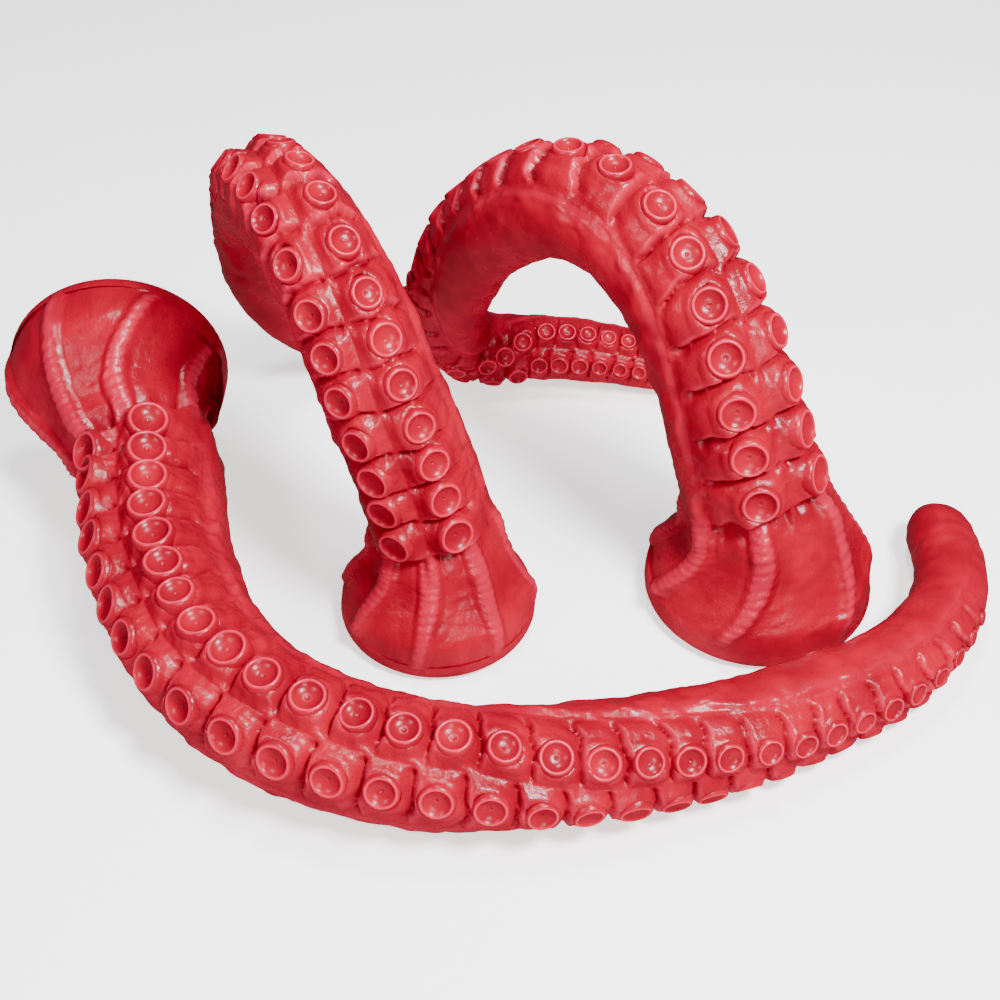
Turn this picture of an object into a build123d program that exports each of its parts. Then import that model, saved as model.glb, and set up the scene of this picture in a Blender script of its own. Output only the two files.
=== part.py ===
from build123d import *
import math
import os

# A set of three posable octopus arms: one lies on its side in a wide curve, two stand on their feet
# and arch over until their tails lie on the floor. Each arm is a soft moulding on a chain of
# ball-and-socket links that holds whatever curve it is bent to.
# Frame: millimetres, +Z up, +X along the lying arm, origin on the floor in the middle of the set.

# ---- driving dimensions -------------------------------------------------------------------------
FOOT_RADIUS = 55.0  # of the two full-size arms
SMALL_FOOT_RADIUS = 47.0  # of the small arm
FLARE_LENGTH = 0.95  # height of the flared foot, in foot radii
LIP = 0.09  # rounding of the foot's lower edge, in foot radii
SECTION_PITCH = 0.85  # distance between cross-sections, in skin radii
FLARE_PITCH = 0.2  # the same in the flare of the foot
TIP_ROUNDING = 1.5  # length of the blunt tip's rounding, in skin radii

JOINT_SPHERE = 1.2  # radius of the ball-shaped face between two sleeves, in skin radii
BALL_TURN = 37.0  # degrees, keeps the ball's seam off the sleeve's
SKIN_GAP = 0.5  # between the ball-shaped faces of two sleeves
CHANNEL = 0.36  # radius of the channel for the links, in skin radii
CHANNEL_MOUTH = 0.82  # the same at the far end of the mouth that the next body's links swing in
CHANNEL_END = 6.0  # past the last ball, in the tip
DOME_REACH = 1.35  # how far a sleeve is drawn before the ball cuts it round, in ball radii
SLEEVE_START = 0.4  # a cupped sleeve's first section, past its hinge, in skin radii
FIT_GAP = 0.3  # between pieces that sit in each other

PLATE_RADIUS = 0.8  # in foot radii
PLATE_THICKNESS = 6.0
PLATE_EDGE = 0.8
FLANGE_RADIUS = 0.42  # in foot radii
FLANGE_THICKNESS = 6.0
FLANGE_EDGE = 1.5
POST_HEIGHT = 16.0  # first ball over the flange
POST_BASE = 1.4  # the post's radius on the flange, in ball radii
SCREW_COUNT = 4
SCREW_RADIUS = 2.0
SCREW_HEAD_RADIUS = 4.0
SCREW_HEAD_HEIGHT = 2.2
SCREW_GAP = 0.2  # round a screw in its hole
SCREW_SLOT_WIDTH = 1.0
SCREW_SLOT_DEPTH = 0.8
SCREW_TOP = 1.5  # the screw's end under the top of the flange
SCREW_CIRCLE = 0.28  # radius of the screws' circle, in foot radii

LINK_BALL = 0.19  # ball radius of a link, in skin radii
LINK_NECK = 0.5  # neck radius, in ball radii
LINK_WALL = 0.35  # wall of a link's socket, in ball radii
SOCKET_OPENING = 0.25  # where a socket is cut open behind the ball, in its inner radii
LINK_PITCH = 0.72  # distance between two balls, in skin radii
LINK_END = 2.6  # the last ball's distance from the tip, in tip radii

# ---- the three arms -----------------------------------------------------------------------------
# A route runs along the middle of an arm, from the centre of its foot to its tip; the first three
# points are in line, square to the flat underside of the foot.
# Hinges are distances along the route, in parts of its length.
LYING = {
    "name": "lying",
    "route": [
        (-187, 63, 55), (-186, 52, 55), (-185, 41, 55), (-176, 18, 50), (-163, -9, 42),
        (-156, -42, 37), (-146, -78, 35), (-126, -119, 33), (-101, -147, 32), (-68, -167, 31),
        (-28, -179, 29), (9, -181, 28), (48, -176, 27), (80, -168, 26), (112, -158, 25),
        (142, -144, 23), (171, -128, 21), (194, -111, 20), (213, -88, 19), (224, -63, 18),
        (226, -35, 17), (222, -9, 14),
    ],
    "foot_radius": FOOT_RADIUS,
    "neck_radius": 36.5,
    "tip_radius": 15.0,
    "taper": 1.3,
    "hinges": (0.25, 0.44, 0.62, 0.80),
}
ARCHED = {
    "name": "arched",
    "route": [
        (134, -49, 0), (134, -49, 10), (134, -49, 20), (132, -48, 46), (125, -43, 72),
        (117, -37, 97), (108, -29, 123), (96, -17, 146), (80, -2, 164), (61, 14, 174),
        (39, 31, 172), (18, 50, 154), (0, 69, 127), (-12, 86, 94), (-19, 100, 60),
        (-14, 110, 34), (5, 116, 22), (34, 117, 21), (59, 115, 20), (84, 111, 18),
        (110, 108, 17), (134, 118, 15), (146, 138, 14), (148, 158, 13),
    ],
    "foot_radius": FOOT_RADIUS,
    "neck_radius": 36.0,
    "tip_radius": 13.5,
    "taper": 0.88,
    "hinges": (0.20, 0.38, 0.57, 0.78),
}
SMALL = {
    "name": "small",
    "route": [
        (-21, -63, 0), (-21, -63, 10), (-21, -63, 20), (-22, -60, 50), (-32, -54, 90),
        (-44, -48, 125), (-56, -35, 155), (-69, -18, 175), (-83, 7, 182), (-96, 34, 174),
        (-106, 58, 154), (-112, 77, 123), (-113, 94, 88), (-104, 107, 57), (-88, 121, 33),
        (-68, 135, 21), (-47, 149, 18), (-27, 167, 16), (-10, 188, 14), (0, 210, 12),
    ],
    "foot_radius": SMALL_FOOT_RADIUS,
    "neck_radius": 31.0,
    "tip_radius": 13.0,
    "taper": 1.25,
    "hinges": (0.21, 0.42, 0.64, 0.82),
}
ARMS = (LYING, ARCHED, SMALL)

STEPS_PER_SPAN = 12  # how finely a route is measured between two of its points


# ---- routes and radii ---------------------------------------------------------------------------
def measured_route(points):
    """Smooth line through the points, as (distance from the foot, position) pairs."""
    knots = [Vector(*p) for p in points]
    knots = [knots[0] * 2 - knots[1]] + knots + [knots[-1] * 2 - knots[-2]]
    line = [knots[1]]
    for a, b, c, d in zip(knots, knots[1:], knots[2:], knots[3:]):
        for step in range(1, STEPS_PER_SPAN + 1):
            t = step / STEPS_PER_SPAN
            cubic = (b * 3 - a - c * 3 + d) * t**3
            line.append((b * 2 + (c - a) * t + (a * 2 - b * 5 + c * 4 - d) * t**2 + cubic) * 0.5)
    measured = [(0.0, line[0])]
    for before, after in zip(line, line[1:]):
        measured.append((measured[-1][0] + (after - before).length, after))
    return measured


def carried_sides(line):
    """A sideways direction for each step of the line, carried along it without twist."""
    side = Vector(1, 0, 0)
    sides = []
    for (_, before), (_, after) in zip(line, line[1:]):
        direction = (after - before).normalized()
        side = (side - direction * side.dot(direction)).normalized()
        sides.append(side)
    return sides


def section_plane(arm, distance):
    """Plane across the arm at a distance from the foot, its normal along the arm."""
    line = arm["line"]
    for (d0, p0), (d1, p1), side in zip(line, line[1:], arm["sides"]):
        if distance <= d1:
            break
    share = (distance - d0) / (d1 - d0)
    return Plane(origin=p0 + (p1 - p0) * share, x_dir=side, z_dir=p1 - p0)


def skin_radius(arm, distance):
    """Outer radius of the arm: a flared foot, a long taper and a blunt tip."""
    flare = FLARE_LENGTH * arm["foot_radius"]
    lip = LIP * arm["foot_radius"]
    cap = TIP_ROUNDING * arm["tip_radius"]
    share = (distance - flare) / (arm["length"] - flare)
    taper = 1 - max(share, 0) ** arm["taper"]
    radius = arm["tip_radius"] + (arm["neck_radius"] - arm["tip_radius"]) * taper
    if distance < flare:
        swell = (1 + math.cos(math.pi * distance / flare)) / 2
        radius += (arm["foot_radius"] - arm["neck_radius"]) * swell
    if distance < lip:
        radius -= lip - math.sqrt(lip**2 - (lip - distance) ** 2)
    if distance > arm["length"] - cap:
        radius *= math.sqrt(max(1 - ((distance - arm["length"] + cap) / cap) ** 2, 0.02))
    return radius


for arm in ARMS:
    arm["line"] = measured_route(arm["route"])
    arm["sides"] = carried_sides(arm["line"])
    arm["length"] = arm["line"][-1][0]


# ---- helpers ------------------------------------------------------------------------------------
def tube(arm, stations):
    """Solid through circles, given as (distance, radius) pairs."""
    circles = [section_plane(arm, distance) * Circle(radius) for distance, radius in stations]
    return loft(circles, ruled=True)


def spaced(start, end, pitch):
    """Even distances from start to end, about a pitch apart."""
    count = max(round((end - start) / pitch), 1)
    return [start + (end - start) * i / count for i in range(count + 1)]


def hinge_distances(arm):
    return [share * arm["length"] for share in arm["hinges"]]


def outer_stations(arm, start, end, pitch_share=SECTION_PITCH):
    pitch = pitch_share * skin_radius(arm, (start + end) / 2)
    return [(d, skin_radius(arm, d)) for d in spaced(start, end, pitch)]


def channel_stations(arm, start, end):
    pitch = SECTION_PITCH * skin_radius(arm, (start + end) / 2)
    return [(d, CHANNEL * skin_radius(arm, d)) for d in spaced(start, end, pitch)]


def joint_ball(arm, hinge, extra=0.0):
    ball = Sphere(JOINT_SPHERE * skin_radius(arm, hinge) + extra)
    return section_plane(arm, hinge) * Rot(0, 0, BALL_TURN) * ball


def domed_end(arm, hinge):
    """The ball-shaped end of a sleeve, past its hinge, with the mouth of the channel."""
    radius = skin_radius(arm, hinge)
    reach = hinge + DOME_REACH * JOINT_SPHERE * radius
    dome = tube(arm, outer_stations(arm, hinge, reach)) & joint_ball(arm, hinge)
    mouth = tube(arm, [(hinge - 1, CHANNEL * radius), (reach, CHANNEL_MOUTH * radius)])
    return dome - mouth


# ---- soft mouldings -----------------------------------------------------------------------------
def foot_skin(arm):
    """Flared foot with its first stretch of arm, hollow underneath for the plate and the post."""
    hinge = hinge_distances(arm)[0]
    lip = LIP * arm["foot_radius"]
    flare = FLARE_LENGTH * arm["foot_radius"]
    stations = [(d, skin_radius(arm, d)) for d in (0, lip / 4, lip)]
    stations += outer_stations(arm, lip, flare, FLARE_PITCH)[1:]
    stations += outer_stations(arm, flare, hinge)[1:]
    skin = tube(arm, stations)
    under = section_plane(arm, 0)
    flange_top = PLATE_THICKNESS + FLANGE_THICKNESS + FIT_GAP
    plate_pocket = Cylinder(PLATE_RADIUS * arm["foot_radius"] + FIT_GAP, 2 * (PLATE_THICKNESS + FIT_GAP))
    flange_pocket = Cylinder(FLANGE_RADIUS * arm["foot_radius"] + FIT_GAP, 2 * flange_top)
    channel = tube(arm, channel_stations(arm, flange_top - 2, hinge))
    skin = skin - under * plate_pocket - under * flange_pocket - channel
    return skin + domed_end(arm, hinge)


def sleeve(arm, start, end):
    """Middle stretch: a cupped start that runs on the ball behind it and a domed end."""
    first = start + SLEEVE_START * skin_radius(arm, start)
    body = tube(arm, outer_stations(arm, first, end)) - tube(arm, channel_stations(arm, first, end))
    return body - joint_ball(arm, start, SKIN_GAP) + domed_end(arm, end)


def tip(arm, start):
    """Last stretch, closed, with a blunt round end."""
    first = start + SLEEVE_START * skin_radius(arm, start)
    cap = TIP_ROUNDING * arm["tip_radius"]
    stations = outer_stations(arm, first, arm["length"] - cap)
    shares = (0.35, 0.65, 0.85, 0.96, 1.0)
    stations += [(d, skin_radius(arm, d)) for d in (arm["length"] - cap * (1 - s) for s in shares)]
    channel = tube(arm, channel_stations(arm, first, link_distances(arm)[-1] + CHANNEL_END))
    return tube(arm, stations) - channel - joint_ball(arm, start, SKIN_GAP)


# ---- foot hardware ------------------------------------------------------------------------------
def screw_places(arm):
    return PolarLocations(SCREW_CIRCLE * arm["foot_radius"], SCREW_COUNT)


def lifted(shape, height):
    return Pos(0, 0, height) * shape


def foot_plate(arm):
    plate = lifted(Cylinder(PLATE_RADIUS * arm["foot_radius"], PLATE_THICKNESS), PLATE_THICKNESS / 2)
    plate = fillet(plate.edges(), PLATE_EDGE)
    hole = Cylinder(SCREW_RADIUS + SCREW_GAP, 3 * PLATE_THICKNESS)
    depth = SCREW_HEAD_HEIGHT + 2 * SCREW_GAP
    sink = lifted(Cone(SCREW_HEAD_RADIUS + 2 * SCREW_GAP, SCREW_RADIUS + SCREW_GAP, depth), depth / 2)
    return section_plane(arm, 0) * (plate - screw_places(arm) * hole - screw_places(arm) * sink)


def base_post(arm):
    """Flange on the plate, with a post that carries the first ball."""
    ball = link_ball(arm, link_distances(arm)[0])
    centre = section_plane(arm, link_distances(arm)[0]).origin
    flange = lifted(Cylinder(FLANGE_RADIUS * arm["foot_radius"], FLANGE_THICKNESS), FLANGE_THICKNESS / 2)
    flange = fillet(flange.edges().group_by(Axis.Z)[-1], FLANGE_EDGE)
    holes = screw_places(arm) * Cylinder(SCREW_RADIUS + SCREW_GAP / 2, 3 * FLANGE_THICKNESS)
    flange = section_plane(arm, 0) * lifted(flange - holes, PLATE_THICKNESS)
    bottom = section_plane(arm, PLATE_THICKNESS + FLANGE_THICKNESS / 2).origin
    height = (centre - bottom).length
    post = lifted(Cone(POST_BASE * ball, LINK_NECK * ball, height), height / 2) + lifted(Sphere(ball), height)
    return flange + Plane(origin=bottom, z_dir=centre - bottom) * post


def foot_screws(arm):
    """Countersunk screws, a group of separate solids."""
    length = PLATE_THICKNESS + FLANGE_THICKNESS - SCREW_TOP
    head = lifted(Cone(SCREW_HEAD_RADIUS, SCREW_RADIUS, SCREW_HEAD_HEIGHT), SCREW_HEAD_HEIGHT / 2)
    slot = Box(2 * SCREW_HEAD_RADIUS, SCREW_SLOT_WIDTH, 2 * SCREW_SLOT_DEPTH)
    shank_start = SCREW_SLOT_DEPTH / 2
    shank = lifted(Cylinder(SCREW_RADIUS, length - shank_start), (length + shank_start) / 2)
    screw = lifted(head - slot + shank, FIT_GAP)
    return section_plane(arm, 0) * Compound(children=screw_places(arm) * screw)


# ---- armature -----------------------------------------------------------------------------------
def link_ball(arm, distance):
    return LINK_BALL * min(skin_radius(arm, distance), arm["neck_radius"])


def link_distances(arm):
    """Places of the balls: every hinge has one, with even steps between."""
    first = PLATE_THICKNESS + FLANGE_THICKNESS + POST_HEIGHT
    last = arm["length"] - LINK_END * arm["tip_radius"]
    stops = [first] + hinge_distances(arm) + [last]
    places = [first]
    for start, end in zip(stops, stops[1:]):
        places += spaced(start, end, LINK_PITCH * skin_radius(arm, (start + end) / 2))[1:]
    return places


def link(arm, start, end):
    """One link: a socket round the ball at its start, a neck, and a ball at its end."""
    foot = section_plane(arm, start).origin
    head = section_plane(arm, end).origin
    reach = (head - foot).length
    hollow = link_ball(arm, start) + FIT_GAP
    outside = hollow + LINK_WALL * link_ball(arm, start)
    ball = link_ball(arm, end)
    socket = Sphere(outside) - Sphere(hollow)
    opening = lifted(Cylinder(2 * outside, 2 * outside), -outside - SOCKET_OPENING * hollow)
    neck_start = (hollow + outside) / 2
    neck = lifted(Cylinder(LINK_NECK * ball, reach - neck_start), (reach + neck_start) / 2)
    piece = socket - opening + neck + lifted(Sphere(ball), reach)
    return Plane(origin=foot, z_dir=head - foot) * piece


def links(arm, start, end):
    """The links of one body, a group of separate solids."""
    places = [d for d in link_distances(arm) if start - 0.01 <= d <= end + 0.01]
    return [link(arm, a, b) for a, b in zip(places, places[1:])]


# ---- write the parts ----------------------------------------------------------------------------
def build(arm):
    """All nodes of one arm, by name."""
    name = arm["name"]
    hinges = hinge_distances(arm)
    ends = [link_distances(arm)[0]] + hinges + [arm["length"]]
    nodes = {
        f"{name}_foot_skin": foot_skin(arm),
        f"{name}_foot_plate": foot_plate(arm),
        f"{name}_base_post": base_post(arm),
        f"{name}_foot_screws": foot_screws(arm),
        f"{name}_tip": tip(arm, hinges[-1]),
    }
    for number, (start, end) in enumerate(zip(hinges, hinges[1:]), 1):
        nodes[f"{name}_sleeve_{number}"] = sleeve(arm, start, end)
    for number, (start, end) in enumerate(zip(ends, ends[1:])):
        nodes[f"{name}_links_{number}"] = Compound(children=links(arm, start, end))
    return nodes


os.makedirs("parts", exist_ok=True)
for arm in ARMS:
    for node, shape in build(arm).items():
        export_step(shape, f"parts/{node}.step")
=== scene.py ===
import math

import bpy
import numpy as np
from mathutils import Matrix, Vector


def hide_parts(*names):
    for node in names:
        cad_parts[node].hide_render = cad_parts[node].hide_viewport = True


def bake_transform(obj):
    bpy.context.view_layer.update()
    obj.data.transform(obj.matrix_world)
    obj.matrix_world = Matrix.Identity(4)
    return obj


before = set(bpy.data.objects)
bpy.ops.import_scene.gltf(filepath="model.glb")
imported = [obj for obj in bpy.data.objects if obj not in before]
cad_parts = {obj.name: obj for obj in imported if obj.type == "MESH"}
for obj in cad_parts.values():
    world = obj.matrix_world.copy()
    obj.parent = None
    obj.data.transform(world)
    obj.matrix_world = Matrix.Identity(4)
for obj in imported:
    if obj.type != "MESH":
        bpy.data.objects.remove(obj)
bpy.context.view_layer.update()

MM = 0.001

# Lengths below are in millimetres unless a name says otherwise, and become metres when a piece is laid
# along its arm. Angles round an arm are in degrees from the middle line between its two sucker rows.

# ---- the arms: routes as in the design, from the centre of the foot to the tip ----------------------
# "faces" says which way the sucker side looks, at shares of the arm's length. "ribs" run down the foot,
# each given by its angle at the neck and at the rim. "hinges" are shares of the arm's length. "pitch" is
# the spacing of the suckers, in skin radii, at shares of the arm's length.
LYING = {
    "name": "lying",
    "route": [
        (-187, 63, 55), (-186, 52, 55), (-185, 41, 55), (-176, 18, 50), (-163, -9, 42),
        (-156, -42, 37), (-146, -78, 35), (-126, -119, 33), (-101, -147, 32), (-68, -167, 31),
        (-28, -179, 29), (9, -181, 28), (48, -176, 27), (80, -168, 26), (112, -158, 25),
        (142, -144, 23), (171, -128, 21), (194, -111, 20), (213, -88, 19), (224, -63, 18),
        (226, -35, 17), (222, -9, 14),
    ],
    "faces": [
        (0.0, (-0.17, 0, 0.98)), (0.16, (-0.45, -0.12, 0.88)), (0.29, (-0.45, -0.34, 0.82)),
        (0.51, (0, -0.66, 0.75)), (0.57, (0.13, -0.9, 0.42)), (0.62, (0.25, -0.95, 0.2)),
        (0.67, (0.38, -0.92, 0)), (0.72, (0.46, -0.85, -0.26)), (0.81, (0.75, -0.6, -0.26)),
        (1.0, (0.97, 0, -0.26)),
    ],
    "ribs": ((32, 9), (-10, -46), (-75, -92), (75, 62), (128, 125), (180, 180), (-128, -136)),
    "foot_radius": 55.0,
    "neck_radius": 36.5,
    "tip_radius": 15.0,
    "taper": 1.3,
    "hinges": (0.25, 0.44, 0.62, 0.80),
    "pitch": ((0.0, 0.52), (0.24, 0.54), (0.40, 0.68), (1.0, 0.68)),
}
ARCHED = {
    "name": "arched",
    "route": [
        (134, -49, 0), (134, -49, 10), (134, -49, 20), (132, -48, 46), (125, -43, 72),
        (117, -37, 97), (108, -29, 123), (96, -17, 146), (80, -2, 164), (61, 14, 174),
        (39, 31, 172), (18, 50, 154), (0, 69, 127), (-12, 86, 94), (-19, 100, 60),
        (-14, 110, 34), (5, 116, 22), (34, 117, 21), (59, 115, 20), (84, 111, 18),
        (110, 108, 17), (134, 118, 15), (146, 138, 14), (148, 158, 13),
    ],
    "faces": [
        (0.0, (0.47, -0.88, 0)), (0.2, (0.5, -0.8, 0.35)), (0.38, (0.29, 0.33, 0.9)),
        (0.48, (-0.3, 0.8, 0.5)), (0.58, (-0.85, 0.5, 0)), (0.66, (-0.85, -0.4, -0.3)),
        (0.71, (-0.1, -0.9, -0.2)), (0.76, (0, -0.8, 0.6)), (0.9, (0.1, -0.78, 0.62)),
        (1.0, (0.8, -0.4, 0.5)),
    ],
    "ribs": ((33, 6), (-33, -59), (-85, -108), (80, 62), (128, 125), (180, 180), (-132, -145)),
    "foot_radius": 55.0,
    "neck_radius": 36.0,
    "tip_radius": 13.5,
    "taper": 0.88,
    "hinges": (0.20, 0.38, 0.57, 0.78),
    "pitch": ((0.0, 0.63), (1.0, 0.63)),
}
SMALL = {
    "name": "small",
    "route": [
        (-21, -63, 0), (-21, -63, 10), (-21, -63, 20), (-22, -60, 50), (-32, -54, 90),
        (-44, -48, 125), (-56, -35, 155), (-69, -18, 175), (-83, 7, 182), (-96, 34, 174),
        (-106, 58, 154), (-112, 77, 123), (-113, 94, 88), (-104, 107, 57), (-88, 121, 33),
        (-68, 135, 21), (-47, 149, 18), (-27, 167, 16), (-10, 188, 14), (0, 210, 12),
    ],
    "faces": [
        (0.0, (0, -1, 0)), (0.22, (0.02, -0.9, 0.3)), (0.42, (-0.15, -0.3, 0.93)),
        (0.54, (-0.4, 0.8, 0.5)), (0.68, (-0.5, 0.85, 0.1)), (0.8, (-0.5, 0.3, 0.8)),
        (1.0, (-0.7, 0.3, 0.6)),
    ],
    "ribs": ((41, 38), (-3, -12), (-45, -60), (-92, -106), (90, 88), (135, 135), (180, 180)),
    "foot_radius": 47.0,
    "neck_radius": 31.0,
    "tip_radius": 13.0,
    "taper": 1.25,
    "hinges": (0.21, 0.42, 0.64, 0.82),
    "pitch": ((0.0, 0.61), (1.0, 0.61)),
}
ARMS = (LYING, ARCHED, SMALL)

ROUTE_STEPS = 60  # steps between two points of a route
ROW_STEP = 1.0  # between two rings of the skin
AROUND = 240  # points round the skin

FLARE_LENGTH = 0.95  # of the foot, in foot radii
FLARE_FULLNESS = 1.4
LIP = 0.15  # rounding of the foot's lower edge, in foot radii
TIP_ROUNDING = 1.5  # in tip radii
PLATE_POCKET = 0.8  # radius of the plate's pocket, in foot radii
PLATE_DEPTH = 6.3
PLATE_GAP = 0.3
FULL_FOOT = 55.0  # the sizes of folds below are those of a full-size foot

FIRST_SUCKER = 1.2  # distance from the foot's underside, in foot radii
BARE_TIP = 4.6  # length without suckers, in tip radii
SUCKER_ANGLE = 28.0
SUCKER_RADIUS = 0.27  # in skin radii
SUCKER_HEIGHT = 1.045  # of the rim over the middle of the arm, in skin radii
SUCKER_SHARE = 0.45  # place of a sucker on its block

# Shape across the arm: radius, in skin radii, at angles from the sucker side's middle line.
SECTION_ANGLES = (0, 5, 11, 20, 34, 48, 60, 68, 75, 81, 88, 98, 115, 140, 180)
SECTION_RADII = (
    0.89, 0.93, 0.97, 0.99, 0.995, 0.985, 0.96, 0.93, 0.885, 0.875, 0.925, 0.955, 0.965, 0.955, 0.95,
)

# Relief of the blocks, in skin radii unless a name says otherwise. A block rises steeply at the end
# nearer the foot, stays level and falls to the next block.
BLOCK_RISE = 0.13  # share of the block
BLOCK_FALL = 0.4  # share of the block
BLOCK_DEPTH = 0.15  # of the gap between two blocks
MIDDLE_DEPTH = 0.02  # of the same gap at the groove between the two rows
BLOCKS_END = (64, 78)  # angles over which the gaps run out
STUB_HEIGHT = 0.045  # swelling round a sucker
HOLLOW_DEPTH = 0.2  # room in the skin for a sucker's bowl

RIDGE_ANGLE = 85
RIDGE_WIDTH = 7  # degrees
RIDGE_HEIGHT = 0.028
LUMP_HEIGHT = 0.010
WRINKLE_HEIGHT = 0.003

# Relief of a full-size foot, in millimetres.
RIB_HEIGHT = 4.0
RIB_HALF_WIDTH = 7.6
RIB_END = 52  # distance from the rim at which the ribs reach the neck
RIB_WRINKLE = 3.4  # between two wrinkles across a rib
PANEL_HOLLOW = 1.3


# ---- routes -----------------------------------------------------------------------------------------
def unit(vectors):
    """The same directions at length 1."""
    return vectors / np.linalg.norm(vectors, axis=-1, keepdims=True)


def trace_route(arm):
    """Stores a finely divided middle line, with its distances and directions."""
    knots = np.array(arm["route"], float)
    knots = np.vstack([2 * knots[0] - knots[1], knots, 2 * knots[-1] - knots[-2]])
    line = [knots[1]]
    for a, b, c, d in zip(knots, knots[1:], knots[2:], knots[3:]):
        for t in np.arange(1, ROUTE_STEPS + 1) / ROUTE_STEPS:
            cubic = (3 * b - a - 3 * c + d) * t**3
            line.append((2 * b + (c - a) * t + (2 * a - 5 * b + 4 * c - d) * t**2 + cubic) / 2)
    line = np.array(line)
    steps = np.linalg.norm(np.diff(line, axis=0), axis=1)
    arm["line"] = line
    arm["distances"] = np.concatenate([[0], np.cumsum(steps)])
    arm["directions"] = unit(np.gradient(line, arm["distances"], axis=0))
    arm["length"] = arm["distances"][-1]


def interpolate(where, known, values):
    """Straight-line interpolation of points or directions."""
    return np.stack([np.interp(where, known, column) for column in np.array(values, float).T], -1)


def across(arm, distances):
    """Middle of the arm, its direction, the way the suckers face and the third direction."""
    middle = interpolate(distances, arm["distances"], arm["line"])
    forward = unit(interpolate(distances, arm["distances"], arm["directions"]))
    shares = [share for share, _ in arm["faces"]]
    faces = unit(np.array([face for _, face in arm["faces"]]))
    facing = interpolate(distances / arm["length"], shares, faces)
    facing = unit(facing - forward * np.sum(facing * forward, -1, keepdims=True))
    return middle, forward, facing, np.cross(forward, facing)


def skin_radius(arm, distances):
    """Outer radius of the arm: a flared foot, a long taper and a blunt tip."""
    flare = FLARE_LENGTH * arm["foot_radius"]
    lip = LIP * arm["foot_radius"]
    cap = TIP_ROUNDING * arm["tip_radius"]
    share = np.clip((distances - flare) / (arm["length"] - flare), 0, 1)
    radius = arm["tip_radius"] + (arm["neck_radius"] - arm["tip_radius"]) * (1 - share ** arm["taper"])
    swell = (1 + np.cos(np.pi * np.clip(distances / flare, 0, 1) ** FLARE_FULLNESS)) / 2
    radius = radius + (arm["foot_radius"] - arm["neck_radius"]) * swell
    rounding = np.clip(lip - distances, 0, lip)
    radius = radius - lip + np.sqrt(lip**2 - rounding**2)
    nearing = np.clip((distances - arm["length"] + cap) / cap, 0, 1)
    return radius * np.sqrt(1 - nearing**2)


def place(arm, distances, angles, radii):
    """Points in metres, from distance along, angle round and radius."""
    middle, _, facing, third = across(arm, distances)
    turn = np.radians(angles)[..., None]
    return (middle + radii[..., None] * (np.cos(turn) * facing + np.sin(turn) * third)) * MM


# ---- folds of the skin ------------------------------------------------------------------------------
def ripple(points, size, seed):
    """Soft random folds, about a size apart: a sum of waves in random directions."""
    draw = np.random.default_rng(seed)
    total = 0
    for _ in range(10):
        wave = unit(draw.normal(size=3)) * 2 * np.pi / (size * draw.uniform(0.7, 1.4))
        total = total + np.sin(points @ wave + draw.uniform(0, 2 * np.pi))
    return total / math.sqrt(5)


def fade(value, start, end):
    """0 before start, 1 after end, smooth between."""
    t = np.clip((value - start) / (end - start), 0, 1)
    return t * t * (3 - 2 * t)


def sucker_blocks(arm, side):
    """Where the blocks of one sucker row meet, from the foot to the tip."""
    draw = np.random.default_rng(11 + side)
    edges = [FIRST_SUCKER * arm["foot_radius"]]
    last = arm["length"] - BARE_TIP * arm["tip_radius"]
    while edges[-1] < last:
        share = np.interp(edges[-1] / arm["length"], *zip(*arm["pitch"]))
        pitch = share * float(skin_radius(arm, np.array(edges[-1])))
        edges.append(edges[-1] + pitch * draw.uniform(0.95, 1.05))
    return np.array(edges)


def block_place(arm, distances, side):
    """Share of the way through the block at each place, and the distance of its sucker."""
    edges = arm["blocks"][side]
    number = np.clip(np.searchsorted(edges, distances) - 1, 0, len(edges) - 2)
    start, end = edges[number], edges[number + 1]
    return (distances - start) / (end - start), start + SUCKER_SHARE * (end - start)


def row_side(arm, points, distances, angles, side):
    """Height of one row of blocks over the plain section, and how much painted highlight falls on its
    raised edge.
    """
    radius = skin_radius(arm, distances)
    off = np.abs(angles)
    shift = 0.7 * ripple(points, 14, 3) + 0.05 * radius * ((off - SUCKER_ANGLE) / 40) ** 2
    share, sucker = block_place(arm, distances + shift, side)
    inside = (share >= 0) & (share <= 1)
    share = np.clip(share, 0, 1)
    rise = 1 - (1 - np.clip(share / BLOCK_RISE, 0, 1)) ** 2.2
    fall = 1 - np.clip((share - 1 + BLOCK_FALL) / BLOCK_FALL, 0, 1) ** 2.4
    depth = (BLOCK_DEPTH * fade(off, 0, 8) + MIDDLE_DEPTH) * (1 - fade(off, *BLOCKS_END))
    height = -depth * radius * (1 - rise * fall)
    # the skin sinks towards the first block
    first = arm["blocks"][side][0]
    last = arm["blocks"][side][-1]
    lead = -depth * radius * fade(distances + shift, first - 14, first) * (distances + shift < first)
    # round each sucker, in sucker radii from its middle
    reach = np.hypot(distances - sucker, radius * np.radians(off - SUCKER_ANGLE)) / (SUCKER_RADIUS * radius)
    height = height + STUB_HEIGHT * radius * (1 - fade(reach, 1.1, 1.6))
    height = height - HOLLOW_DEPTH * radius * (1 - fade(reach, 0.62, 0.92))
    ends = 1 - fade(distances, last - 25, last)
    # painted highlight along the raised lip near each block's foot-side end
    rim = 0.6 * np.exp(-(((share - 0.08) / 0.05) ** 2)) * fade(off, 3, 12) * (1 - fade(off, 55, 72))
    return np.where(inside, height * ends, lead), np.where(inside, rim * ends, 0)


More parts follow.
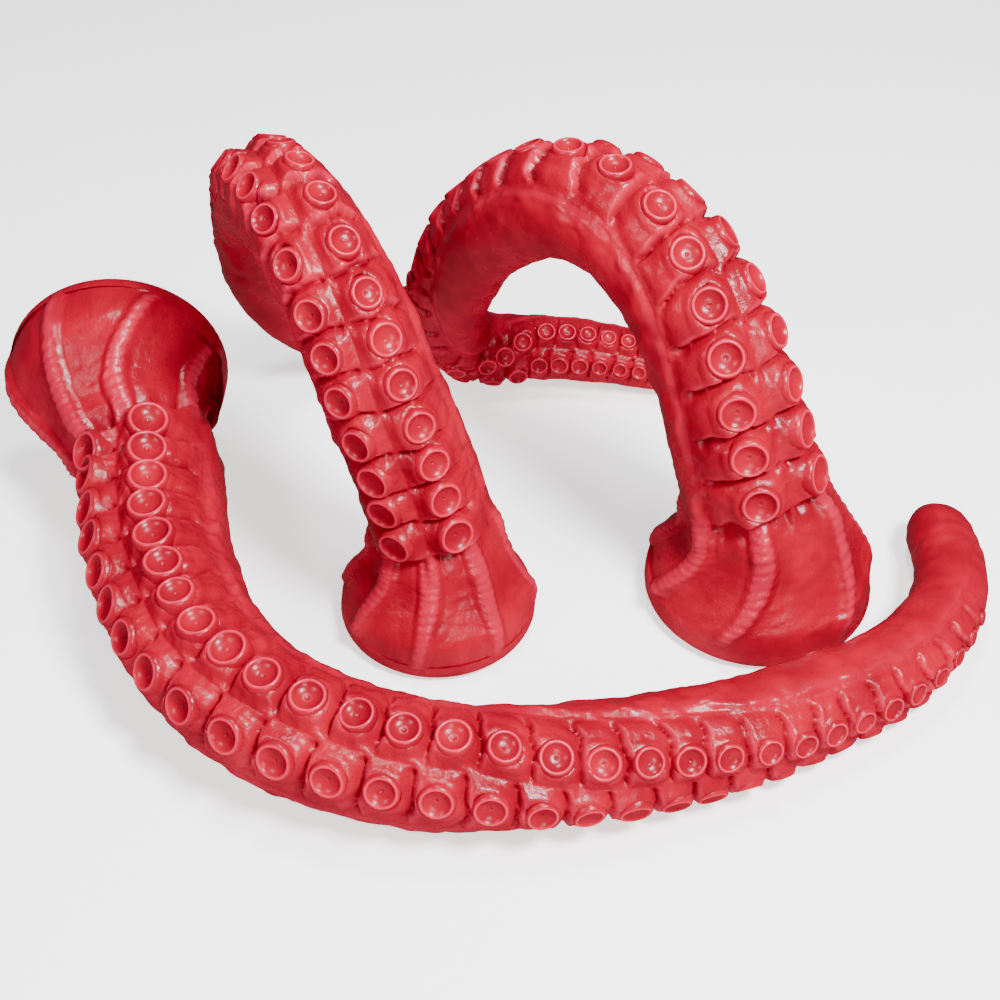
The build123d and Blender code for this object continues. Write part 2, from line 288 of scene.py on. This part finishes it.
def foot_folds(arm, points, distances, angles):
    """Ribs, hollow panels, a crease above the rim and fine wrinkles on the flared foot, with a painted
    highlight on the rib crests.
    """
    scale = arm["foot_radius"] / FULL_FOOT
    along = distances / scale
    down = 1 - fade(along, 0, RIB_END)  # 1 at the rim, 0 at the neck
    arc = skin_radius(arm, distances) / scale
    nearest = np.full(along.shape, 1e9)
    for neck, rim in arm["ribs"]:
        gap = angles - (neck + (rim - neck) * down)
        gap = np.abs((gap + 180) % 360 - 180)
        nearest = np.minimum(nearest, np.radians(gap) * arc)
    half = RIB_HALF_WIDTH - 1.8 * down + 0.3 * ripple(points, 9, 21)
    wrinkle = 1 + 0.10 * np.sin(along * 2 * np.pi / RIB_WRINKLE + 1.1 * ripple(points, 12, 22))
    present = fade(along, 10, 20) * (1 - fade(along, 60, 76))
    rib = (1 - np.clip(nearest / half, 0, 1) ** 2) ** 0.85 * (RIB_HEIGHT - 1.0 * down) * wrinkle
    panel = fade(nearest, 5, 17)
    hollow = -PANEL_HOLLOW * panel * fade(along, 14, 28) * (1 - fade(along, 44, 66))
    crease_at = 8 + 10 * fade(nearest, 5, 20) + 0.8 * ripple(points, 13, 23)
    crease = -0.16 * np.exp(-(((along - crease_at) / 3.0) ** 2)) * fade(nearest, 9, 16)
    lip = 0.25 * fade(along, crease_at, crease_at + 6) * panel
    lip = lip * (1 - fade(along, crease_at + 3, crease_at + 14))
    level = points * (1, 0.18, 0.18)
    fine = 0.10 * ripple(level, 3.4 * scale, 24) * fade(along, 10, 20) * (1 - fade(along, 60, 80))
    upright = points * (0.2, 1, 1)
    fine = fine + 0.08 * ripple(upright, 4 * scale, 25) * (1 - fade(along, 10, 16)) * fade(along, 3, 6)
    # the second value is a painted highlight on the crests of the ribs
    return scale * (present * rib + hollow + crease + lip + fine), 0.5 * present * fade(rib, 2.4, 3.2)


def fold(arm, distances, angles):
    """Radius of the finished skin, how much painted highlight it gets, its share of grain and its place on
    a straight arm.
    """
    radius = skin_radius(arm, distances)
    off = np.abs(angles)
    turn = np.radians(angles)
    points = np.stack([distances, radius * np.cos(turn), radius * np.sin(turn)], -1)
    foot_end = FLARE_LENGTH * arm["foot_radius"]
    tip_start = arm["length"] - BARE_TIP * arm["tip_radius"]
    shaped = fade(distances, 0.75 * foot_end, 1.25 * foot_end)
    shaped = shaped * (1 - fade(distances, tip_start - 15, tip_start + 25))
    section = np.interp(off, SECTION_ANGLES, SECTION_RADII)
    full = radius * (1 + shaped * (section - 1))
    rows, edges = row_side(arm, points, distances, angles, 1)
    other_rows, other_highlight = row_side(arm, points, distances, angles, -1)
    height = np.where(angles >= 0, rows, other_rows)
    rim = np.where(angles >= 0, edges, other_highlight)
    # wavy ridge between the sucker side and the back
    wander = RIDGE_ANGLE + 2.5 * ripple(points * (1, 0.1, 0.1), 26, 31)
    ridge = np.exp(-(((off - wander) / RIDGE_WIDTH) ** 2)) * shaped
    height = height + RIDGE_HEIGHT * radius * ridge * np.clip(0.6 + 0.6 * ripple(points, 11, 32), 0, 2)
    # lumps and pebbles on the back
    back = fade(off, 74, 96) * fade(distances, 0.9 * foot_end, 1.5 * foot_end)
    height = height + back * radius * LUMP_HEIGHT * ripple(points, 18, 33)
    height = height + back * radius * 0.0025 * ripple(points, 7, 34)
    height = height + back * radius * LUMP_HEIGHT * np.clip(ripple(points, 10, 35) - 1.0, 0, 2)
    # fine wrinkles on the sides of the blocks
    sides = (1 - back) * shaped
    height = height + sides * radius * WRINKLE_HEIGHT * ripple(points * (1, 0.35, 0.35), 3.4, 36)
    # soft lumps on the bare tip
    bare = fade(distances, tip_start - 10, tip_start + 30)
    nearing = 1 - fade(distances, arm["length"] - 14, arm["length"] - 2)
    height = height + bare * nearing * radius * LUMP_HEIGHT * ripple(points * (1, 0.5, 0.5), 7, 37)
    folds, foot_highlight = foot_folds(arm, points, distances, angles)
    at_foot = 1 - fade(distances, 1.2 * foot_end, 1.5 * foot_end)
    lip_fade = fade(distances, 0.3, LIP * arm["foot_radius"] + 2)
    height = height + at_foot * folds * lip_fade
    # painted highlight on block lips, rib crests and the ridge
    painted_highlight = np.clip(rim + at_foot * foot_highlight + 0.15 * ridge, 0, 1)
    return full + height, painted_highlight, 1 - 0.6 * back, points


# ---- pieces -----------------------------------------------------------------------------------------
def only(piece):
    """Selects one object and makes it active."""
    bpy.ops.object.select_all(action="DESELECT")
    piece.select_set(True)
    bpy.context.view_layer.objects.active = piece


def set_attribute(mesh, name, kind, values):
    """Stores one value for each point of a mesh."""
    field = "vector" if kind == "FLOAT_VECTOR" else "value"
    attribute = mesh.attributes.new(name, kind, "POINT")
    attribute.data.foreach_set(field, np.asarray(values, np.float32).ravel())


def skin_rings(arm, start, end):
    """Distances of the rings of a stretch of skin, close together on the foot's lip and the tip."""
    count = max(round((end - start) / ROW_STEP), 2)
    rings = np.linspace(start, end, count + 1)
    if start == 0:
        lip = LIP * arm["foot_radius"]
        quarter = np.linspace(0, np.pi / 2, 7)
        rings = np.concatenate([lip * (1 - np.cos(quarter)), rings[rings > lip + 0.5]])
    if end == arm["length"]:
        cap = TIP_ROUNDING * arm["tip_radius"]
        quarter = np.linspace(0, np.pi / 2, 16)
        dome = end - cap + cap * np.sin(quarter)
        rings = np.concatenate([rings[rings < end - cap - 0.5], dome])
    return rings


def skin_piece(arm, number, start, end):
    """One stretch of skin: a sheet rolled round the arm, folded, and closed at its ends."""
    rings = skin_rings(arm, start, end)
    angles = np.linspace(-180, 180, AROUND + 1)
    along, round_ = np.meshgrid(rings, angles, indexing="ij")
    radii, painted_highlight, grain, straight = fold(arm, along, round_)
    if start == 0:
        pocket = PLATE_POCKET * arm["foot_radius"] + PLATE_GAP
        rim = radii[0].min()
        # the underside, from the rim inwards, and the wall of the pocket
        under = (
            (0, (pocket + 2 * rim) / 3),
            (0, (2 * pocket + rim) / 3),
            (0, pocket),
            (PLATE_DEPTH, pocket),
        )
        for depth, width in under:
            along = np.vstack([np.full((1, AROUND + 1), float(depth)), along])
            radii = np.vstack([np.full((1, AROUND + 1), width), radii])
            round_ = np.vstack([round_[:1], round_])
            painted_highlight = np.vstack([np.zeros((1, AROUND + 1)), painted_highlight])
            grain = np.vstack([grain[:1], grain])
            straight = np.concatenate([straight[:1], straight])
    rows = along.shape[0]
    bpy.ops.object.select_all(action="DESELECT")
    bpy.ops.mesh.primitive_grid_add(x_subdivisions=rows - 1, y_subdivisions=AROUND, size=2)
    piece = bpy.context.object
    piece.name = f"{arm['name']}_skin_{number}"
    mesh = piece.data
    mesh.name = piece.name
    flat = np.zeros(len(mesh.vertices) * 3)
    mesh.vertices.foreach_get("co", flat)
    flat = flat.reshape(-1, 3)
    row = np.rint((flat[:, 0] + 1) / 2 * (rows - 1)).astype(int)
    column = np.rint((flat[:, 1] + 1) / 2 * AROUND).astype(int)
    points = place(arm, along, round_, radii)
    mesh.vertices.foreach_set("co", points[row, column].ravel())
    set_attribute(mesh, "straight_place", "FLOAT_VECTOR", straight[row, column] * MM)
    # painted highlight on raised edges, read by the skin material
    set_attribute(mesh, "painted_edge_highlight", "FLOAT", painted_highlight[row, column])
    set_attribute(mesh, "grain", "FLOAT", grain[row, column])
    only(piece)
    bpy.ops.object.mode_set(mode="EDIT")
    bpy.ops.mesh.select_all(action="SELECT")
    bpy.ops.mesh.remove_doubles(threshold=1e-6)
    bpy.ops.mesh.fill_holes(sides=0)
    bpy.ops.mesh.normals_make_consistent(inside=False)
    bpy.ops.object.mode_set(mode="OBJECT")
    bpy.ops.object.shade_smooth_by_angle(angle=math.radians(65))
    return piece


# Outline of a sucker from the bottom of its wall over the rim to the pit, in sucker radii.
SUCKER_OUTLINE = (
    (1.16, -0.80), (1.12, -0.5), (1.08, -0.25), (1.04, -0.10), (0.99, -0.02), (0.94, 0.03),
    (0.89, 0.06), (0.84, 0.065), (0.79, 0.035), (0.75, -0.02), (0.69, -0.08), (0.60, -0.15),
    (0.48, -0.21), (0.33, -0.26), (0.18, -0.28), (0.10, -0.27), (0.06, -0.34),
)
SUCKER_CORNERS = 24


def model_sucker():
    """One sucker, drawn up ring by ring from a circle: wall, rim, bowl and pit."""
    radius, height = SUCKER_OUTLINE[0]
    bpy.ops.object.select_all(action="DESELECT")
    bpy.ops.mesh.primitive_circle_add(vertices=SUCKER_CORNERS, radius=radius, location=(0, 0, height))
    sucker = bpy.context.object
    sucker.name = "sucker_pattern"
    bpy.ops.object.transform_apply(location=True)
    bpy.ops.object.mode_set(mode="EDIT")
    bpy.ops.mesh.select_all(action="SELECT")
    for (before, low), (after, high) in zip(SUCKER_OUTLINE, SUCKER_OUTLINE[1:]):
        bpy.ops.mesh.extrude_edges_move(TRANSFORM_OT_translate={"value": (0, 0, high - low)})
        bpy.ops.transform.resize(value=(after / before, after / before, 1), center_override=(0, 0, high))
    bpy.ops.mesh.fill_holes(sides=0)
    bpy.ops.mesh.edge_face_add()
    bpy.ops.mesh.select_all(action="SELECT")
    bpy.ops.mesh.normals_make_consistent(inside=False)
    bpy.ops.object.mode_set(mode="OBJECT")
    bpy.ops.object.shade_smooth()
    return sucker


def sucker_row(arm, number, start, end, pattern):
    """The suckers of one stretch, copied on to their blocks and joined."""
    copies = []
    draw = np.random.default_rng(50 + number)
    for side in (1, -1):
        edges = arm["blocks"][side]
        for first, second in zip(edges, edges[1:]):
            distance = first + SUCKER_SHARE * (second - first)
            if not start <= distance < end:
                continue
            radius = float(skin_radius(arm, np.array(distance)))
            size = SUCKER_RADIUS * radius * draw.uniform(0.95, 1.05)
            angle = side * (SUCKER_ANGLE + draw.uniform(-1.5, 1.5))
            left = arm["length"] - BARE_TIP * arm["tip_radius"] - distance
            size *= 0.7 + 0.3 * min(max(left / 60, 0), 1)
            middle, forward, facing, third = (v[0] for v in across(arm, np.array([distance])))
            turn = math.radians(angle)
            outward = math.cos(turn) * facing + math.sin(turn) * third
            origin = middle + outward * SUCKER_HEIGHT * radius
            lean = draw.normal(0, 0.05, 2)
            outward = unit(outward + lean[0] * forward + lean[1] * np.cross(forward, outward))
            forward = unit(forward - outward * (forward @ outward))
            copy = pattern.copy()
            copy.data = pattern.data.copy()
            bpy.context.collection.objects.link(copy)
            basis = np.stack([forward, np.cross(outward, forward), outward], 1)
            local = np.zeros(len(copy.data.vertices) * 3)
            copy.data.vertices.foreach_get("co", local)
            local = local.reshape(-1, 3)
            copy.data.vertices.foreach_set("co", ((origin + size * local @ basis.T) * MM).ravel())
            # painted highlight along the crest of the sucker's rim
            crest_highlight = np.exp(-(((local[:, 2] - 0.065) / 0.03) ** 2))
            straight = size * local + (distance, 3 * radius * side, radius)
            set_attribute(copy.data, "straight_place", "FLOAT_VECTOR", straight * MM)
            set_attribute(copy.data, "painted_edge_highlight", "FLOAT", crest_highlight)
            wall = fade(-local[:, 2], 0.02, 0.3) * (np.hypot(local[:, 0], local[:, 1]) > 1)
            set_attribute(copy.data, "grain", "FLOAT", 0.2 + 0.8 * wall)
            copies.append(copy)
    if not copies:
        return None
    bpy.ops.object.select_all(action="DESELECT")
    for copy in copies:
        copy.select_set(True)
    bpy.context.view_layer.objects.active = copies[0]
    bpy.ops.object.join()
    row = bpy.context.object
    row.name = f"{arm['name']}_suckers_{number}"
    row.data.name = row.name
    return row


# ---- materials --------------------------------------------------------------------------------------
def new_material(name):
    """A material with its nodes, its links and its main shader."""
    material = bpy.data.materials.new(name)
    material.use_nodes = True
    nodes = material.node_tree.nodes
    return material, nodes, material.node_tree.links, nodes["Principled BSDF"]


def soft_red_skin():
    """Satin, slightly translucent red moulding, paler on raised edges as a painted highlight, with fine
    pores and folds.
    """
    material, nodes, links, shader = new_material("soft_red_skin")
    spot = nodes.new("ShaderNodeAttribute")
    spot.attribute_name = "straight_place"
    edge = nodes.new("ShaderNodeAttribute")
    edge.attribute_name = "painted_edge_highlight"
    cloud = nodes.new("ShaderNodeTexNoise")
    cloud.inputs["Scale"].default_value = 45
    cloud.inputs["Detail"].default_value = 4
    links.new(spot.outputs["Vector"], cloud.inputs["Vector"])
    depth = nodes.new("ShaderNodeValToRGB")
    depth.color_ramp.elements[0].position = 0.35
    depth.color_ramp.elements[0].color = (0.20, 0.0, 0.009, 1)
    depth.color_ramp.elements[1].position = 0.68
    depth.color_ramp.elements[1].color = (0.31, 0.0, 0.014, 1)
    links.new(cloud.outputs["Fac"], depth.inputs["Fac"])
    # Painted highlight: raised edges are mixed towards pale pink by the edge attribute, at up to 0.55.
    highlight_mix = nodes.new("ShaderNodeMix")
    highlight_mix.data_type = "RGBA"
    highlight_mix.inputs["B"].default_value = (0.66, 0.02, 0.07, 1)
    highlight_strength = nodes.new("ShaderNodeMath")
    highlight_strength.operation = "MULTIPLY"
    highlight_strength.inputs[1].default_value = 0.55
    links.new(edge.outputs["Fac"], highlight_strength.inputs[0])
    links.new(highlight_strength.outputs[0], highlight_mix.inputs["Factor"])
    links.new(depth.outputs["Color"], highlight_mix.inputs["A"])
    links.new(highlight_mix.outputs["Result"], shader.inputs["Base Color"])
    gloss = nodes.new("ShaderNodeMapRange")
    gloss.inputs["To Min"].default_value = 0.20
    gloss.inputs["To Max"].default_value = 0.33
    links.new(cloud.outputs["Fac"], gloss.inputs["Value"])
    links.new(gloss.outputs["Result"], shader.inputs["Roughness"])
    pores = nodes.new("ShaderNodeTexNoise")
    pores.inputs["Scale"].default_value = 900
    pores.inputs["Detail"].default_value = 3
    links.new(spot.outputs["Vector"], pores.inputs["Vector"])
    creases = nodes.new("ShaderNodeTexNoise")
    creases.inputs["Scale"].default_value = 260
    creases.inputs["Detail"].default_value = 4
    creases.inputs["Roughness"].default_value = 0.6
    links.new(spot.outputs["Vector"], creases.inputs["Vector"])
    grain = nodes.new("ShaderNodeAttribute")
    grain.attribute_name = "grain"
    large = nodes.new("ShaderNodeBump")
    links.new(grain.outputs["Fac"], large.inputs["Strength"])
    large.inputs["Distance"].default_value = 0.0005
    links.new(creases.outputs["Fac"], large.inputs["Height"])
    small = nodes.new("ShaderNodeBump")
    links.new(grain.outputs["Fac"], small.inputs["Strength"])
    small.inputs["Distance"].default_value = 0.0001
    links.new(pores.outputs["Fac"], small.inputs["Height"])
    links.new(large.outputs["Normal"], small.inputs["Normal"])
    links.new(small.outputs["Normal"], shader.inputs["Normal"])
    shader.inputs["Subsurface Weight"].default_value = 0.1
    shader.inputs["Subsurface Radius"].default_value = (1.0, 0.15, 0.12)
    shader.inputs["Subsurface Scale"].default_value = 0.004
    shader.inputs["IOR"].default_value = 1.4
    shader.inputs["Specular IOR Level"].default_value = 0.3
    return material


def plain_finish(name, color, metallic, roughness, grain):
    """Hard parts: one base colour with a fine grain in tone, gloss and relief."""
    material, nodes, links, shader = new_material(name)
    spot = nodes.new("ShaderNodeTexCoord")
    speck = nodes.new("ShaderNodeTexNoise")
    speck.inputs["Scale"].default_value = grain
    speck.inputs["Detail"].default_value = 4
    links.new(spot.outputs["Object"], speck.inputs["Vector"])
    tone = nodes.new("ShaderNodeValToRGB")
    tone.color_ramp.elements[0].color = (*(c * 0.8 for c in color), 1)
    tone.color_ramp.elements[1].color = (*(min(c * 1.2, 1) for c in color), 1)
    links.new(speck.outputs["Fac"], tone.inputs["Fac"])
    links.new(tone.outputs["Color"], shader.inputs["Base Color"])
    gloss = nodes.new("ShaderNodeMapRange")
    gloss.inputs["To Min"].default_value = roughness - 0.08
    gloss.inputs["To Max"].default_value = roughness + 0.08
    links.new(speck.outputs["Fac"], gloss.inputs["Value"])
    links.new(gloss.outputs["Result"], shader.inputs["Roughness"])
    relief = nodes.new("ShaderNodeBump")
    relief.inputs["Strength"].default_value = 0.15
    relief.inputs["Distance"].default_value = 0.0003
    links.new(speck.outputs["Fac"], relief.inputs["Height"])
    links.new(relief.outputs["Normal"], shader.inputs["Normal"])
    shader.inputs["Metallic"].default_value = metallic
    return material


def finish_hardware():
    """Materials of the pieces that stay as designed."""
    finishes = {
        "foot_plate": plain_finish("moulded_black_plate", (0.045, 0.045, 0.05), 0, 0.5, 700),
        "base_post": plain_finish("turned_aluminium", (0.7, 0.7, 0.72), 1, 0.35, 500),
        "foot_screws": plain_finish("zinc_plated_steel", (0.58, 0.58, 0.6), 1, 0.3, 900),
        "links": plain_finish("grey_acetal", (0.09, 0.09, 0.1), 0, 0.4, 600),
    }
    for node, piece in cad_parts.items():
        for word, material in finishes.items():
            if word in node:
                piece.data.materials.clear()
                piece.data.materials.append(material)


# ---- making the arms --------------------------------------------------------------------------------
def blend_over_hinge(piece):
    """Bakes the piece's placement into its mesh."""
    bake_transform(piece)


def stretch_ends(arm):
    """Where one stretch of skin meets the next: between two blocks, midway between two hinges."""
    hinges = [share * arm["length"] for share in arm["hinges"]]
    ends = [0.0]
    for before, after in zip(hinges, hinges[1:]):
        edges = arm["blocks"][1]
        ends.append(float(edges[np.argmin(np.abs(edges - (before + after) / 2))]))
    return ends + [arm["length"]]


def make_arm(arm, pattern, skin):
    """All four stretches of one arm, each with its suckers."""
    name = arm["name"]
    trace_route(arm)
    arm["blocks"] = {side: sucker_blocks(arm, side) for side in (1, -1)}
    ends = stretch_ends(arm)
    replaced = (
        [f"{name}_foot_skin"],
        [f"{name}_sleeve_1"],
        [f"{name}_sleeve_2"],
        [f"{name}_sleeve_3", f"{name}_tip"],
    )
    for number, (start, end) in enumerate(zip(ends, ends[1:])):
        piece = skin_piece(arm, number + 1, start, end)
        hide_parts(*replaced[number])
        row = sucker_row(arm, number + 1, start, end, pattern)
        for made in (piece, row):
            if made is None:
                continue
            made.data.materials.clear()
            made.data.materials.append(skin)
            blend_over_hinge(made)


def make_stage():
    """Flat pale floor, soft light from the front and above, and the camera."""
    bpy.ops.object.select_all(action="DESELECT")
    bpy.ops.mesh.primitive_plane_add(size=40, location=(0, 0, 0))
    floor = bpy.context.object
    floor.name = "floor"
    material, _, _, shader = new_material("pale_floor")
    shader.inputs["Base Color"].default_value = (0.95, 0.95, 0.95, 1)
    shader.inputs["Roughness"].default_value = 0.07
    shader.inputs["IOR"].default_value = 1.6
    shader.inputs["Emission Color"].default_value = (1, 1, 1, 1)
    shader.inputs["Emission Strength"].default_value = 1.2
    floor.data.materials.append(material)
    floor.visible_glossy = False  # keeps white haze off the arms' gloss
    world = bpy.data.worlds.new("studio")
    bpy.context.scene.world = world
    world.use_nodes = True
    sky = world.node_tree.nodes["Background"]
    sky.inputs["Color"].default_value = (0.93, 0.96, 1.0, 1)
    sky.inputs["Strength"].default_value = 0.08
    lamps = (
        ("window_right", (0.45, -0.5, 1.05), 0.3, 38),
        ("window_left", (-0.7, -0.6, 0.9), 0.4, 6),
        ("window_front", (0.2, -1.0, 0.55), 0.4, 6),
        ("window_top", (0.05, 0.1, 1.3), 0.3, 13),
    )
    aim = Vector((0, -0.02, 0.05))
    for name, spot, size, power in lamps:
        lamp = bpy.data.lights.new(name, "AREA")
        lamp.shape = "DISK"
        lamp.size = size
        lamp.energy = power
        holder = bpy.data.objects.new(name, lamp)
        holder.location = spot
        holder.rotation_euler = (Vector(spot) - aim).to_track_quat("Z", "Y").to_euler()
        bpy.context.collection.objects.link(holder)
    camera = bpy.data.cameras.new("camera")
    camera.sensor_width = 36
    camera.lens = 61.2
    eye = bpy.data.objects.new("camera", camera)
    eye.location = (0.0088, -0.6297, 0.6016)
    eye.rotation_euler = (math.radians(47), 0, 0)
    bpy.context.collection.objects.link(eye)
    bpy.context.scene.camera = eye


make_stage()
skin_material = soft_red_skin()
sucker_pattern = model_sucker()
for each_arm in ARMS:
    make_arm(each_arm, sucker_pattern, skin_material)
bpy.data.objects.remove(sucker_pattern)
finish_hardware()
